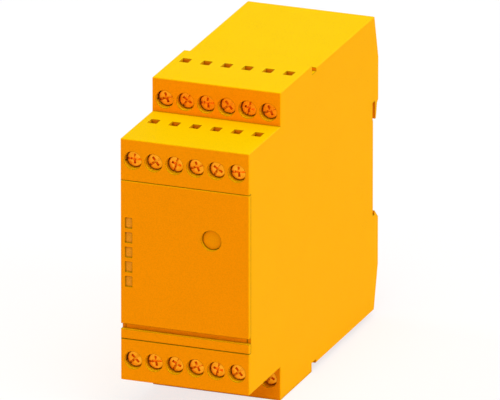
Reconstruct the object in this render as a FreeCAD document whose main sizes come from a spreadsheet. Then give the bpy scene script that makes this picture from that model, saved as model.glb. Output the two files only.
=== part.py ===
import FreeCAD, Part
import math
import os
import re

import Sketcher
from FreeCAD import Placement, Rotation, Vector

# Safety relay for a 35 mm mounting rail, with four rows of six screw terminals.
# X runs across the casing, the front faces -Y, and Z is up. The origin is the middle of
# the flat face that seats on the rail. All lengths are in millimetres.

os.makedirs("parts", exist_ok=True)
doc = FreeCAD.newDocument("safety_relay")

COLUMNS = 6      # terminals in a row
LIGHTS = 5       # status lights
HEADER_PINS = 8  # pins of a board-to-board header
CHIP_LEADS = 10  # leads along one side of a controller chip

# ---------------------------------------------------------------- driving sizes

SIZES = {
    # casing
    "width": 45.0,           # across the casing
    "front_reach": 115.9,    # rail seat to the front face
    "back_reach": 5.2,       # rail seat to the back face
    "front_height": 83.8,    # front face, bottom to top
    "step_depth": 29.0,      # front face to the second tier's face
    "tier_depth": 29.2,      # second tier, front to back
    "tier_rise": 11.7,       # second tier above the first
    "groove_width": 4.0,     # groove across the top and bottom
    "groove_depth": 3.2,
    "rear_drop": 2.0,        # rear part below the second tier
    "bevel_depth": 3.8,      # sloping corners at the back
    "bevel_height": 15.2,
    "wall": 1.8,             # top, bottom, front and back walls
    "side_wall": 1.2,
    "rabbet": 1.0,           # rim left round the side cover
    "seam": 0.15,            # gap between mating casing parts
    "edge_radius": 0.35,
    "slack": 0.3,            # gap beside loose inner parts
    # rail seat
    "rail_height": 35.0,
    "rail_offset": 0.5,      # rail's middle below the casing's middle
    "hook_overlap": 1.4,     # each hook over the rail's edge
    "lift": 4.8,             # how far the casing can be pushed down to free it
    "slot_relief": 0.4,      # upper slot's front wall behind the seat
    "slot_back": 1.9,        # upper hook's inner face
    "hook_tip": 0.8,         # upper hook, thickness at its tip
    "hook_root": 1.9,        # and near its root
    "lower_slot": 1.3,       # lower hook's inner face
    "lower_relief": 0.2,     # lower slot's front wall behind the seat
    "lower_tip": 0.3,
    "ramp_height": 3.4,      # lead-in slope of the lower hook
    # front cover
    "cover_height": 55.24,
    "lip": 1.5,              # cover plate over the side walls
    "panel": 1.2,            # thicker middle between the side walls
    "pry_rise": 3.42,        # cover's bottom edge to the pry groove
    "pry_height": 1.95,
    "snap_thick": 1.2,
    "snap_width": 6.0,
    "snap_reach": 13.0,      # snap arms from the middle
    "snap_nose": 0.6,
    "snap_length": 3.9,
    # status lights
    "window_width": 2.4,
    "window_height": 3.6,
    "window_pitch": 5.08,
    "window_edge": 1.6,      # side face to the windows
    "window_level": 2.65,    # middle window above mid height
    "lens_recess": 0.5,
    "lens_fit": 0.05,
    "led_height": 1.1,
    "led_length": 2.0,
    "led_width": 1.3,
    # reset button
    "button_radius": 3.4,
    "button_fit": 0.1,
    "button_across": 9.2,    # right of the middle
    "button_level": 10.25,   # above mid height
    "button_recess": 1.2,
    "button_flange": 4.2,    # radius of the flange behind the cover
    "flange_thick": 0.7,
    "button_stem": 1.6,
    "button_travel": 1.2,
    "plunger_radius": 1.7,
    "plunger_fit": 0.05,
    "plunger_out": 1.5,      # plunger in front of its switch
    "switch_size": 6.0,
    "switch_height": 3.5,
    "spring_wire": 0.3,      # button spring
    "spring_radius": 2.4,
    # terminals
    "row_end": 4.345,        # side face to the middle of the nearest terminal
    "screw_drop": 7.2,       # terminal surface to screw axis
    "hole_radius": 3.05,
    "hole_rim": 0.9,         # bars that carry the screw holes inwards, beyond the holes
    "head_recess": 2.1,
    "head_radius": 2.9,
    "head_length": 2.1,
    "recess_deep": 1.3,      # cross in the screw head
    "slot_deep": 0.8,
    "slot_wide": 0.8,
    "shank_radius": 1.5,
    "shank_fit": 0.1,
    "entry_setback": 19.4,   # terminal face to the middle of the wire entry
    "entry_width": 3.0,
    "entry_depth": 3.8,
    "cage_width": 5.0,
    "cage_height": 6.0,
    "cage_wall": 0.9,
    "cage_front": 8.6,       # terminal face to the cage
    "bar_width": 3.0,
    "bar_thick": 1.0,
    "bar_top": 4.3,          # above the screw axis
    "part_fit": 0.15,        # cage in its chamber, bar in its slot
    "block_back": 1.75,      # rear wall of a terminal block
    # boards
    "board_thick": 1.6,
    "board_drop": 15.9,      # front terrace to the terminal boards
    "board_end": 24.0,       # terminal boards behind the second tier's face
    "front_setback": 9.4,    # front face to the front board
    "standoff": 2.6,         # side wall to the side boards
    "pin_out": 1.5,          # pins through a board
    "hole_fit": 0.15,
    "guide_thick": 1.2,      # ribs that hold the side boards
    "guide_height": 2.0,
    "guide_end": 8.0,        # ends of the rear part to the ribs
    "header_size": 2.5,
    "header_drop": 4.0,
    "header_pitch": 2.54,
    "header_back": 31.0,     # front face to the terminal boards' headers
    "header_pin": 0.3,
    # components
    "relay_length": 40.0,
    "relay_width": 13.0,
    "relay_height": 24.0,
    "relay_gap": 3.0,
    "relay_end": 4.5,        # side boards' rear edge to the relays
    "part_margin": 5.8,      # casing's inner top to the parts on the boards
    "coil_length": 32.5,     # mains transformer
    "coil_width": 27.5,
    "coil_height": 24.0,
    "coil_end": 5.0,         # side boards' rear edge to the transformer
    "can_radius": 5.0,       # smoothing capacitors
    "can_height": 20.0,
    "can_pitch": 14.0,
    "can_back": 24.0,        # behind the terminal boards' headers
    "fuse_radius": 4.25,
    "fuse_height": 8.0,
    "disc_radius": 5.5,      # varistor
    "disc_thick": 4.2,
    "bridge_length": 8.5,    # bridge rectifier
    "bridge_width": 6.4,
    "bridge_height": 3.3,
    "chip_length": 12.8,
    "chip_width": 7.5,
    "chip_height": 2.4,
    "chip_pitch": 1.27,
    "component_pin": 0.4,
    # rail slider
    "slider_half": 15.0,     # half its length across the casing
    "slider_fit": 0.2,
    "slider_tip": 0.6,       # below the rail's top edge when free
    "slider_flange": 2.0,
    "peg_reach": 9.0,        # spring pegs from the middle
    "peg_radius": 1.2,
    "peg_height": 2.5,
    "coil_wire": 0.5,        # slider springs
    "coil_radius": 1.9,
    "coil_free": 9.8,
    "ledge_thick": 1.5,
    # side cover latches
    "latch_length": 2.3,
    "latch_width": 4.0,
    "latch_thick": 1.0,
    "latch_nose": 0.45,
    "latch_inset": 3.0,      # from the ends of the rear part
}

# Places that follow from the sizes
PLACES = {
    "front": "-front_reach",
    "step": "front + step_depth",
    "tier_end": "step + tier_depth",
    "groove_end": "tier_end + groove_width",
    "back": "back_reach",
    "front_top": "front_height / 2",
    "tier_top": "front_top + tier_rise",
    "groove_floor": "tier_top - groove_depth",
    "rear_top": "tier_top - rear_drop",
    "bevel_start": "back - bevel_depth",
    "bevel_end": "rear_top - bevel_height",
    "rail_low": "-(rail_height / 2 + rail_offset)",
    "rail_high": "rail_low + rail_height",
    "upper_tip": "rail_high - hook_overlap",
    "lower_tip_top": "rail_low + hook_overlap",
    "slot_roof": "rail_high + lift",
    "ramp_foot": "lower_tip_top - ramp_height",
    "side": "width / 2",
    "inner": "side - side_wall",
    "seat_back": "-(slot_relief + wall)",
    "rear_inner": "rear_top - wall",
    "cover_half": "cover_height / 2",
    "cover_back": "front + lip + panel",
    "window_x": "-side + window_edge + window_width / 2",
    "pitch": f"(width - 2 * row_end) / {COLUMNS - 1}",
    "entry_near": "entry_setback - entry_depth / 2",
    "entry_far": "entry_setback + entry_depth / 2",
    "block_front": "head_recess + head_length",
    "bar_back": "entry_near - part_fit",
    "bar_front": "bar_back - bar_thick",
    "cage_back": "entry_far + part_fit + cage_wall",
    "board_top": "front_top - board_drop",
    "board_under": "board_top - board_thick",
    "board_rear": "step + board_end",
    "front_board": "front + front_setback",
    "front_board_back": "front_board + board_thick",
    "side_board_out": "inner - standoff",
    "side_board": "side_board_out - board_thick",
    "side_board_rear": "seat_back - slack",
    "side_board_step": "groove_end + wall + slack",
    "tongue": "board_under - pin_out - slack",
    "relay_y": "side_board_rear - relay_end - relay_length / 2",
    "relay_z": "rear_inner - part_margin - relay_width / 2",
    "coil_y": "side_board_rear - coil_end - coil_length / 2",
    "coil_z": "-(rear_inner - part_margin - coil_width / 2)",
    "header_y": "front + header_back",
    "can_y": "header_y + can_back",
    "button_y": "front + button_recess",
    "flange_front": "cover_back + slack",
    "flange_back": "flange_front + flange_thick",
    "switch_front": "front_board - switch_height",
    "plunger_front": "switch_front - plunger_out",
    "flange_low": "slot_roof + wall + seam",
    "flange_high": "flange_low + slider_flange",
    "slider_y": "(slot_back - slot_relief) / 2",
    "ledge": "flange_high + coil_free",
}

sheet = doc.addObject("Spreadsheet::Sheet", "Sizes")
for row, (alias, size) in enumerate(SIZES.items(), start=1):
    sheet.set(f"A{row}", alias.replace("_", " "))
    sheet.set(f"B{row}", str(size))
    sheet.setAlias(f"B{row}", alias)
doc.recompute()


def formula(text):
    """Spell out named sizes and places as an expression on the sheet's cells."""
    def spell(match):
        name = match.group(0)
        if name in PLACES:
            return "(" + formula(PLACES[name]) + ")"
        if name in SIZES:
            return "Sizes." + name
        raise NameError(name)
    return re.sub(r"[a-z][a-z_]*", spell, str(text))


def value(text):
    """The number that a formula gives now."""
    return float(sheet.evalExpression(formula(text)))


# ---------------------------------------------------------------- drawing tools

def polygon(points):
    """A closed outline whose corners are held at formulas (across, up)."""
    def draw(sketch):
        first = sketch.GeometryCount
        corners = [Vector(value(across), value(up), 0) for across, up in points]
        ends = corners[1:] + corners[:1]
        sketch.addGeometry([Part.LineSegment(a, b) for a, b in zip(corners, ends)], False)
        total = len(points)
        joins = [Sketcher.Constraint("Coincident", first + n, 2, first + (n + 1) % total, 1)
                 for n in range(total)]
        sketch.addConstraint(joins)
        for n, corner in enumerate(points):
            hold(sketch, "DistanceX", (-1, 1, first + n, 1), corner[0])
            hold(sketch, "DistanceY", (-1, 1, first + n, 1), corner[1])
    return draw


def rectangle(left, right, low, high):
    return polygon([(left, low), (right, low), (right, high), (left, high)])


def circle(across, up, radius):
    """A circle whose centre and radius are held at formulas."""
    def draw(sketch):
        index = sketch.GeometryCount
        centre = Vector(value(across), value(up), 0)
        sketch.addGeometry(Part.Circle(centre, Vector(0, 0, 1), value(radius)), False)
        hold(sketch, "DistanceX", (-1, 1, index, 3), across)
        hold(sketch, "DistanceY", (-1, 1, index, 3), up)
        hold(sketch, "Radius", (index,), radius)
    return draw


def hold(sketch, kind, where, text):
    """Add one dimension and bind it to its formula."""
    index = sketch.addConstraint(Sketcher.Constraint(kind, *where, value(text)))
    sketch.setExpression(f"Constraints[{index}]", formula(text))


# A sketch plane: the body's origin plane, and which way its normal points along the axis
PLANES = {"side": ("YZ_Plane", 1), "front": ("XZ_Plane", -1), "top": ("XY_Plane", 1)}


class Piece:
    """One sub-part: a body built from straight prisms between two levels of an axis."""

    def __init__(self, name, at=("0", "0", "0"), turn=Rotation()):
        self.name = name
        self.steps = 0
        self.body = doc.addObject("PartDesign::Body", name)
        self.body.Label = name
        self.body.AllowCompound = True
        self.body.Placement = Placement(Vector(), turn)
        for axis, text in zip("xyz", at):
            self.body.setExpression(f"Placement.Base.{axis}", formula(text))

    def sketch(self, plane, level, loops):
        role, way = PLANES[plane]
        sketch = self.body.newObject("Sketcher::SketchObject", f"{self.name}_sketch")
        origin_plane = next(item for item in self.body.Origin.OriginFeatures if item.Role == role)
        sketch.AttachmentSupport = [(origin_plane, "")]
        sketch.MapMode = "FlatFace"
        sketch.setExpression("AttachmentOffset.Base.z", formula(f"{way} * ({level})"))
        for draw in loops:
            draw(sketch)
        return sketch

    def extrude(self, kind, plane, start, low, high, loops):
        feature = self.body.newObject(f"PartDesign::{kind}", f"{self.name}_{kind.lower()}")
        feature.Profile = self.sketch(plane, start, loops)
        feature.setExpression("Length", formula(f"({high}) - ({low})"))
        self.body.Tip = feature
        return feature

    def add(self, plane, low, high, *loops):
        """Pad the outlines from one level to the other."""
        start = high if plane == "front" else low
        return self.extrude("Pad", plane, start, low, high, loops)

    def cut(self, plane, low, high, *loops):
        """Pocket the outlines from one level to the other."""
        start = low if plane == "front" else high
        return self.extrude("Pocket", plane, start, low, high, loops)

    def round_edges(self, kind, size, chosen):
        """Fillet or chamfer the edges of the last feature that the test picks."""
        doc.recompute()
        base = self.body.Tip
        names = [f"Edge{n}" for n, edge in enumerate(base.Shape.Edges, start=1) if chosen(edge)]
        feature = self.body.newObject(f"PartDesign::{kind}", f"{self.name}_{kind.lower()}")
        feature.Base = (base, names)
        feature.setExpression("Radius" if kind == "Fillet" else "Size", formula(size))
        self.body.Tip = feature


def columns():
    """Where the six terminals of a row stand, across the casing."""
    return [f"{n - (COLUMNS - 1) / 2} * pitch" for n in range(COLUMNS)]


def mirrored(points):
    """The same outline with its second coordinate negated, in reverse order."""
    return [(across, f"-({up})") for across, up in reversed(points)]


def box_round(across, up, half_width, half_height):
    """A rectangle centred on a point."""
    return rectangle(f"{across} - {half_width}", f"{across} + {half_width}",
                     f"{up} - {half_height}", f"{up} + {half_height}")


# ---------------------------------------------------------------- casing

def upper_contour():
    """Upper half of the casing's side outline, from the back bevel to the front face."""
    return [
        ("back", "bevel_end"),
        ("bevel_start", "rear_top"),
        ("groove_end", "rear_top"),
        ("groove_end", "groove_floor"),
        ("tier_end", "groove_floor"),
        ("tier_end", "tier_top"),
        ("step", "tier_top"),
        ("step", "front_top"),
        ("front", "front_top"),
    ]


def rail_contour():
    """The back of the casing from the lower hook's ramp up to the upper hook's root."""
    return [
        ("back", "ramp_foot"),
        ("lower_slot + lower_tip", "lower_tip_top"),
        ("lower_slot", "lower_tip_top"),
        ("lower_slot", "rail_low"),
        ("-lower_relief", "rail_low"),
        ("-lower_relief", "lower_tip_top"),
        ("0", "lower_tip_top"),
        ("0", "upper_tip"),
        ("-slot_relief", "upper_tip"),
        ("-slot_relief", "slot_roof"),
        ("slot_back", "slot_roof"),
        ("slot_back", "upper_tip"),
        ("slot_back + hook_tip", "upper_tip"),
        ("slot_back + hook_root", "slot_roof - side_wall"),
        ("back", "slot_roof + seam"),
    ]


def inset_contour(gap, front_line):
    """Side outline moved inwards by a gap, with a straight back behind the rail seat."""
    upper = [
        (f"back - {gap}", f"slot_roof + {gap}"),
        (f"back - {gap}", f"bevel_end - {gap}"),
        (f"bevel_start - {gap}", f"rear_top - {gap}"),
        (f"groove_end + {gap}", f"rear_top - {gap}"),
        (f"groove_end + {gap}", f"groove_floor - {gap}"),
        (f"tier_end - {gap}", f"groove_floor - {gap}"),
        (f"tier_end - {gap}", f"tier_top - {gap}"),
        (f"step + {gap}", f"tier_top - {gap}"),
        (f"step + {gap}", f"front_top - {gap}"),
        (front_line, f"front_top - {gap}"),
    ]
    seat = f"-(slot_relief + {gap})"
    lower = mirrored(upper[1:])
    lower.append((f"back - {gap}", f"ramp_foot - {gap}"))
    return [(seat, f"ramp_foot - {gap}"), (seat, f"slot_roof + {gap}")] + upper + lower


def outer_edge(edge):
    """True for edges of the casing block that are rounded: all but those near the rail."""
    middle = edge.BoundBox.Center
    near_rail = middle.y > value("seat_back") and abs(middle.z) < value("slot_roof + 1")
    in_groove = (abs(middle.y - value("(tier_end + groove_end) / 2")) < value("groove_width / 2 + 0.1")
                 and abs(middle.z) < value("tier_top - 0.1"))
    in_step = (abs(middle.y - value("step")) < 0.1 and abs(abs(middle.z) - value("front_top")) < 0.1)
    return not (near_rail or in_groove or in_step)


def make_housing():
    """Moulded casing: right side, all the narrow walls and the rail hooks in one piece."""
    housing = Piece("housing")
    outline = rail_contour() + upper_contour() + mirrored(upper_contour())
    housing.add("side", "-side", "side", polygon(outline))
    housing.round_edges("Fillet", "edge_radius", outer_edge)
    housing.cut("side", "-side - 1", "-side + side_wall + seam",
                polygon(inset_contour("rabbet", "front + rabbet")))
    housing.cut("side", "-side - 1", "inner", polygon(inset_contour("wall", "front + wall")))
    # mouth for the front cover, full width at its lip and between the side walls behind it
    housing.cut("front", "front - 1", "front + lip + seam",
                rectangle("-side - 1", "side + 1", "-cover_half", "cover_half"))
    housing.cut("front", "front - 1", "front + wall + 1",
                rectangle("-side - 1", "inner", "-cover_half", "cover_half"))
    # screw holes in the four terminal faces, carried by bars to the blocks behind the faces
    for face, surface in (("front", "front_top"), ("step", "tier_top")):
        level = f"({surface} - screw_drop)"
        rim = "(hole_radius + hole_rim)"
        bars = [rectangle("-inner + seam", "inner", f"{sign}{level} - {rim}", f"{sign}{level} + {rim}")
                for sign in ("", "-")]
        housing.add("front", f"{face} + wall - 0.1", f"{face} + block_front - seam", *bars)
        holes = [circle(x, f"{sign}{level}", "hole_radius") for x in columns() for sign in ("", "-")]
        housing.cut("front", f"{face} - 1", f"{face} + block_front", *holes)
        entries = [box_round(x, f"({face} + entry_setback)", "entry_width / 2", "entry_depth / 2")
                   for x in columns()]
        housing.cut("top", f"{surface} - wall - 0.1", f"{surface} + 1", *entries)
        housing.cut("top", f"-{surface} - 1", f"-{surface} + wall + 0.1", *entries)
    # opening in the roof of the upper rail slot for the slider's blade
    housing.cut("top", "slot_roof - 0.1", "slot_roof + wall + 0.1",
                rectangle("-slider_half - slack", "slider_half + slack", "-slot_relief", "slot_back"))
    # ledge that the slider's springs push against
    housing.add("top", "ledge", "ledge + ledge_thick",
                rectangle("-inner + seam", "inner", "seat_back + slack", "back - wall"))
    # ribs that hold the top and bottom edges of the side boards
    ribs = []
    for near, far in (("side_board - slack / 2 - guide_thick", "side_board - slack / 2"),
                      ("side_board_out + slack / 2", "side_board_out + slack / 2 + guide_thick")):
        for sign in ("", "-"):
            ends = (near, far) if sign == "" else (far, near)
            left, right = (f"{sign}({end})" for end in ends)
            ribs.append(rectangle(left, right, "groove_end + wall + guide_end",
                                  "seat_back - guide_end"))
    housing.add("top", "rear_inner - guide_height", "rear_inner + 0.1", *ribs)
    housing.add("top", "-rear_inner - 0.1", "-rear_inner + guide_height", *ribs)
    # pockets for the side cover's latches
    pockets = [rectangle("-inner + latch_length - 2 * latch_thick - slack",
                         "-inner + latch_length + slack",
                         f"{y} - latch_width / 2 - slack", f"{y} + latch_width / 2 + slack")
               for y in latch_places()]
    housing.cut("top", "rear_inner - 0.1", "rear_inner + latch_nose + seam", *pockets)
    housing.cut("top", "-rear_inner - latch_nose - seam", "-rear_inner + 0.1", *pockets)


def latch_places():
    """Where the side cover's latches stand, front to back."""
    return ["(groove_end + wall + latch_inset)", "(seat_back - latch_inset)"]


def make_side_cover():
    """Flat left side, set into the casing's rim and held by four latches."""
    cover = Piece("side_cover")
    gap = "(rabbet + seam)"
    cover.add("side", "-side", "-side + side_wall",
              polygon(inset_contour(gap, "front + rabbet + seam")))
    cover.cut("side", "-side - 1", "-side + side_wall + 1",
              rectangle("front", "front + lip + 2 * seam", "-cover_half - seam", "cover_half + seam"))
    for sign in ("", "-"):
        level = f"{sign}(rear_inner - seam - latch_thick / 2)"
        arms = [box_round("(-inner + latch_length / 2 - 0.05)", y,
                          "(latch_length / 2 + 0.05)", "latch_width / 2") for y in latch_places()]
        cover.add("top", f"{level} - latch_thick / 2", f"{level} + latch_thick / 2", *arms)
        noses = [rectangle("-inner + latch_length - latch_thick", "-inner + latch_length",
                           f"{y} - latch_width / 2", f"{y} + latch_width / 2")
                 for y in latch_places()]
        tip = f"{sign}(rear_inner + latch_nose / 2 - seam / 2)"
        half = "(latch_nose + seam) / 2"
        cover.add("top", f"{tip} - {half}", f"{tip} + {half}", *noses)


def light_levels():
    """Heights of the status lights, from the lowest up."""
    return [f"(window_level + {n - (LIGHTS - 1) / 2} * window_pitch)" for n in range(LIGHTS)]


def make_front_cover():
    """Snap-in front with light windows, the reset button's bore and a groove to prise it off."""
    cover = Piece("front_cover")
    cover.add("front", "front", "front + lip",
              rectangle("-side", "side", "-cover_half + seam", "cover_half - seam"))
    cover.round_edges("Fillet", "edge_radius", lambda edge: (
        abs(edge.BoundBox.Center.y - value("front")) < 0.01))
    cover.add("front", "front + lip - 0.1", "cover_back",
              rectangle("-inner + seam", "inner - seam", "-cover_half + seam", "cover_half - seam"))
    cover.cut("front", "front - 1", "front + lip",
              rectangle("-side - 1", "side + 1", "-cover_half + pry_rise",
                        "-cover_half + pry_rise + pry_height"))
    windows = [box_round("window_x", z, "window_width / 2", "window_height / 2")
               for z in light_levels()]
    cover.cut("front", "front - 1", "cover_back + 1", *windows)
    cover.cut("front", "front - 1", "cover_back + 1",
              circle("button_across", "button_level", "button_radius + button_fit"))
    for sign in ("", "-"):
        level = f"{sign}(cover_half - seam - snap_thick / 2)"
        arms = [box_round(f"({way}snap_reach)", level, "snap_width / 2", "snap_thick / 2")
                for way in ("", "-")]
        cover.add("front", "cover_back - 0.1", "front + snap_length", *arms)
        tip = f"{sign}(cover_half + snap_nose / 2 - seam / 2)"
        noses = [box_round(f"({way}snap_reach)", tip, "snap_width / 2", "(snap_nose + seam) / 2")
                 for way in ("", "-")]
        cover.add("front", "front + wall + seam", "front + snap_length", *noses)


# ---------------------------------------------------------------- terminals

HALF_TURN = Rotation(Vector(0, 1, 0), 180)

# A terminal row: its face, the surface its wires enter, and whether it hangs upside down
ROWS = {
    "upper_front": ("front", "front_top", False),
    "upper_rear": ("step", "tier_top", False),
    "lower_front": ("front", "front_top", True),
    "lower_rear": ("step", "tier_top", True),
}


def row_piece(kind, row):
    """A piece drawn from its row's face and screw axis; a lower row is turned over."""
    face, surface, hangs = ROWS[row]
    level = f"{surface} - screw_drop"
    if hangs:
        return Piece(f"{kind}_{row}", ("0", face, f"-({level})"), HALF_TURN)
    return Piece(f"{kind}_{row}", ("0", face, level))


def turned_rectangle(centre, half_long, half_short, angle):
    """A rectangle turned about a point, as a screwdriver slot lies."""
    cos, sin = (round(wave(math.radians(angle)), 5) for wave in (math.cos, math.sin))
    corners = ((-1, -1), (1, -1), (1, 1), (-1, 1))
    return polygon([
        (f"{centre} + {a * cos} * {half_long} - {b * sin} * {half_short}",
         f"{a * sin} * {half_long} + {b * cos} * {half_short}") for a, b in corners])


def make_screws(row):
    """Six clamp screws with combined slot and cross recesses, each left at its own angle."""
    screws = row_piece("terminal_screws", row)
    screws.add("front", "head_recess", "block_front",
               *[circle(x, "0", "head_radius") for x in columns()])
    screws.round_edges("Chamfer", "head_length / 6", lambda edge: (
        abs(edge.BoundBox.Center.y - value("head_recess")) < 0.01))
    screws.add("front", "block_front - 0.1", "bar_front - slack",
               *[circle(x, "0", "shank_radius") for x in columns()])
    turns = [(37 * n + 20 * list(ROWS).index(row)) % 90 for n in range(COLUMNS)]
    for extra, length, depth in ((0, "head_radius + 1", "slot_deep"),
                                 (0, "head_radius * 0.6", "recess_deep"),
                                 (90, "head_radius * 0.6", "recess_deep")):
        slots = [turned_rectangle(x, f"({length})", "slot_wide / 2", angle + extra)
                 for x, angle in zip(columns(), turns)]
        screws.cut("front", "head_recess - 1", f"head_recess + {depth}", *slots)


def make_cages(row):
    """Six clamp cages, drawn forward by the screws to grip the wires on the bars."""
    cages = row_piece("clamp_cages", row)
    half = "cage_width / 2"
    cages.add("top", "-cage_height / 2", "cage_height / 2",
              *[rectangle(f"{x} - {half}", f"{x} + {half}", "cage_front", "cage_back")
                for x in columns()])
    cages.cut("top", "-cage_height / 2 - 1", "cage_height / 2 + 1",
              *[rectangle(f"{x} - {half} + cage_wall", f"{x} + {half} - cage_wall",
                          "cage_front + cage_wall", "cage_back - cage_wall") for x in columns()])
    cages.cut("front", "cage_front - 1", "cage_front + cage_wall + 1",
              *[circle(x, "0", "shank_radius + shank_fit") for x in columns()])


def make_bars(row):
    """Six contact bars, from inside the cages through the terminal board."""
    surface = ROWS[row][1]
    bars = row_piece("contact_bars", row)
    foot = f"-({surface} - screw_drop - board_under + pin_out)"
    bars.add("top", foot, "bar_top",
             *[rectangle(f"{x} - bar_width / 2", f"{x} + bar_width / 2", "bar_front", "bar_back")
               for x in columns()])


def make_block(row):
    """Six-way terminal moulding with a chamber, a screw bore and a wire funnel for each pole."""
    surface = ROWS[row][1]
    block = row_piece("terminal_block", row)
    base = f"-({surface} - screw_drop - board_top)"
    roof = "screw_drop - wall - seam"
    chamber_top = "cage_height / 2 + slack"
    chamber = "(cage_width / 2 + part_fit)"
    block.add("top", base, roof,
              rectangle("-inner + seam", "inner - seam", "block_front", "cage_back + slack + block_back"))
    block.cut("top", f"{base} - 1", chamber_top,
              *[rectangle(f"{x} - {chamber}", f"{x} + {chamber}", "cage_front - slack",
                          "cage_back + slack") for x in columns()])
    block.cut("top", "0", f"{roof} + 1",
              *[box_round(x, "entry_setback", "entry_width / 2", "entry_depth / 2")
                for x in columns()])
    block.cut("front", "block_front - 1", "cage_front",
              *[circle(x, "0", "shank_radius + shank_fit") for x in columns()])
    block.cut("top", "0", "bar_top + slack",
              *[rectangle(f"{x} - bar_width / 2 - part_fit", f"{x} + bar_width / 2 + part_fit",
                          "bar_front - part_fit", "entry_setback") for x in columns()])


def make_terminal_board(name, hangs):
    """Board that the two terminal rows above it are soldered to."""
    board = Piece(name, turn=HALF_TURN if hangs else Rotation())
    board.add("top", "board_under", "board_top",
              rectangle("-inner + slack", "inner - slack", "front + block_front", "board_rear"))
    slots = [rectangle(f"{x} - bar_width / 2 - hole_fit", f"{x} + bar_width / 2 + hole_fit",
                       f"{face} + bar_front - hole_fit", f"{face} + bar_back + hole_fit")
             for x in columns() for face in ("front", "step")]
    pins = [circle("(side_board - header_size / 2)", f"(header_y + {shift})", "header_pin + hole_fit")
            for shift in pin_shifts()]
    board.cut("top", "board_under - 1", "board_top + 1", *slots, *pins)


def pin_shifts():
    """Places of a header's pins along it, from its middle."""
    return [f"{n - (HEADER_PINS - 1) / 2} * header_pitch" for n in range(HEADER_PINS)]


# ---------------------------------------------------------------- boards and their parts

# Ways that a part drawn standing on +Z can face once it sits on its board
FACE_LEFT = Rotation(Vector(0, 1, 0), Vector(0, 0, -1), Vector(-1, 0, 0), "XYZ")
FACE_RIGHT = Rotation(Vector(0, 1, 0), Vector(0, 0, 1), Vector(1, 0, 0), "XYZ")
FACE_FRONT = Rotation(Vector(1, 0, 0), Vector(0, 0, 1), Vector(0, -1, 0), "XYZ")


class Seat:
    """A board face that parts stand on. It keeps the holes that their pins need."""

    def __init__(self, level, turn):
        self.level = level
        self.turn = turn
        self.holes = []

    def part(self, name, along, up, pins, radius="component_pin"):
        """Start a part at a place on the board, and drill the board for its pins."""
        spot = (along, self.level, up) if self.turn is FACE_FRONT else (self.level, along, up)
        piece = Piece(name, spot, self.turn)
        flip = "-" if self.turn is FACE_LEFT else ""
        for across, rise in pins:
            self.holes.append(circle(f"{along} + ({across})", f"{up} + {flip}({rise})",
                                     f"{radius} + hole_fit"))
        return piece

    def pins(self, piece, pins, top="0.2", radius="component_pin"):
        """Round pins from a part's foot through the board."""
        piece.add("top", "-board_thick - pin_out", top,
                  *[circle(across, rise, radius) for across, rise in pins])


RELAY_SEAT = Seat("side_board", FACE_LEFT)
POWER_SEAT = Seat("-side_board", FACE_RIGHT)
FRONT_SEAT = Seat("front_board", FACE_FRONT)


def grid(*lines):
    """Every pair of an across place and an up place."""
    across, up = lines
    return [(a, b) for a in across for b in up]


def make_relay(name, level):
    """Sealed force-guided relay."""
    pins = grid([f"{n} * relay_length" for n in (-0.44, -0.2, 0.1, 0.4)],
                ["-relay_width / 2 + 1.8", "relay_width / 2 - 1.8"])
    relay = RELAY_SEAT.part(name, "relay_y", level, pins)
    relay.add("top", "0", "relay_height",
              box_round("0", "0", "relay_length / 2", "relay_width / 2"))
    relay.round_edges("Chamfer", "relay_width / 16", lambda edge: edge.BoundBox.Center.z > 1)
    RELAY_SEAT.pins(relay, pins)


def make_transformer():
    """Potted mains transformer."""
    pins = grid(["-coil_length / 2 + 3.5", "coil_length / 2 - 3.5"],
                ["-coil_width / 2 + 3.5", "0", "coil_width / 2 - 3.5"])
    coil = POWER_SEAT.part("mains_transformer", "coil_y", "coil_z", pins)
    coil.add("top", "0", "coil_height", box_round("0", "0", "coil_length / 2", "coil_width / 2"))
    coil.round_edges("Chamfer", "coil_width / 25", lambda edge: edge.BoundBox.Center.z > 1)
    POWER_SEAT.pins(coil, pins)


def make_capacitor(name, level):
    """Smoothing capacitor, a can with a rolled edge."""
    pins = [("-can_radius / 2", "0"), ("can_radius / 2", "0")]
    can = POWER_SEAT.part(name, "can_y", level, pins)
    can.add("top", "0", "can_height", circle("0", "0", "can_radius"))
    can.round_edges("Fillet", "can_radius / 8", lambda edge: len(edge.Vertexes) == 1)
    POWER_SEAT.pins(can, pins)


def make_fuse():
    """Round miniature fuse in the supply line."""
    pins = [("-fuse_radius / 2", "0"), ("fuse_radius / 2", "0")]
    fuse = POWER_SEAT.part("input_fuse", "header_y - header_size", "can_pitch / 2", pins)
    fuse.add("top", "0", "fuse_height", circle("0", "0", "fuse_radius"))
    POWER_SEAT.pins(fuse, pins)


def make_varistor():
    """Disc varistor across the supply, standing on its two legs."""
    pins = [("-disc_radius / 2", "0"), ("disc_radius / 2", "0")]
    disc = POWER_SEAT.part("varistor", "header_y - header_size", "-can_pitch / 2", pins)
    disc.add("front", "-disc_thick / 2", "disc_thick / 2", circle("0", "disc_radius + 1.5", "disc_radius"))
    POWER_SEAT.pins(disc, pins, top="3")


def make_bridge():
    """Bridge rectifier between the transformer and the capacitors."""
    pins = grid(["-bridge_length / 2 + 1.5", "bridge_length / 2 - 1.5"],
                ["-bridge_width / 2 + 1", "bridge_width / 2 - 1"])
    bridge = POWER_SEAT.part("bridge_rectifier", "coil_y", "can_pitch / 2", pins)
    bridge.add("top", "0", "bridge_height", box_round("0", "0", "bridge_length / 2", "bridge_width / 2"))
    POWER_SEAT.pins(bridge, pins)


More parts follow.
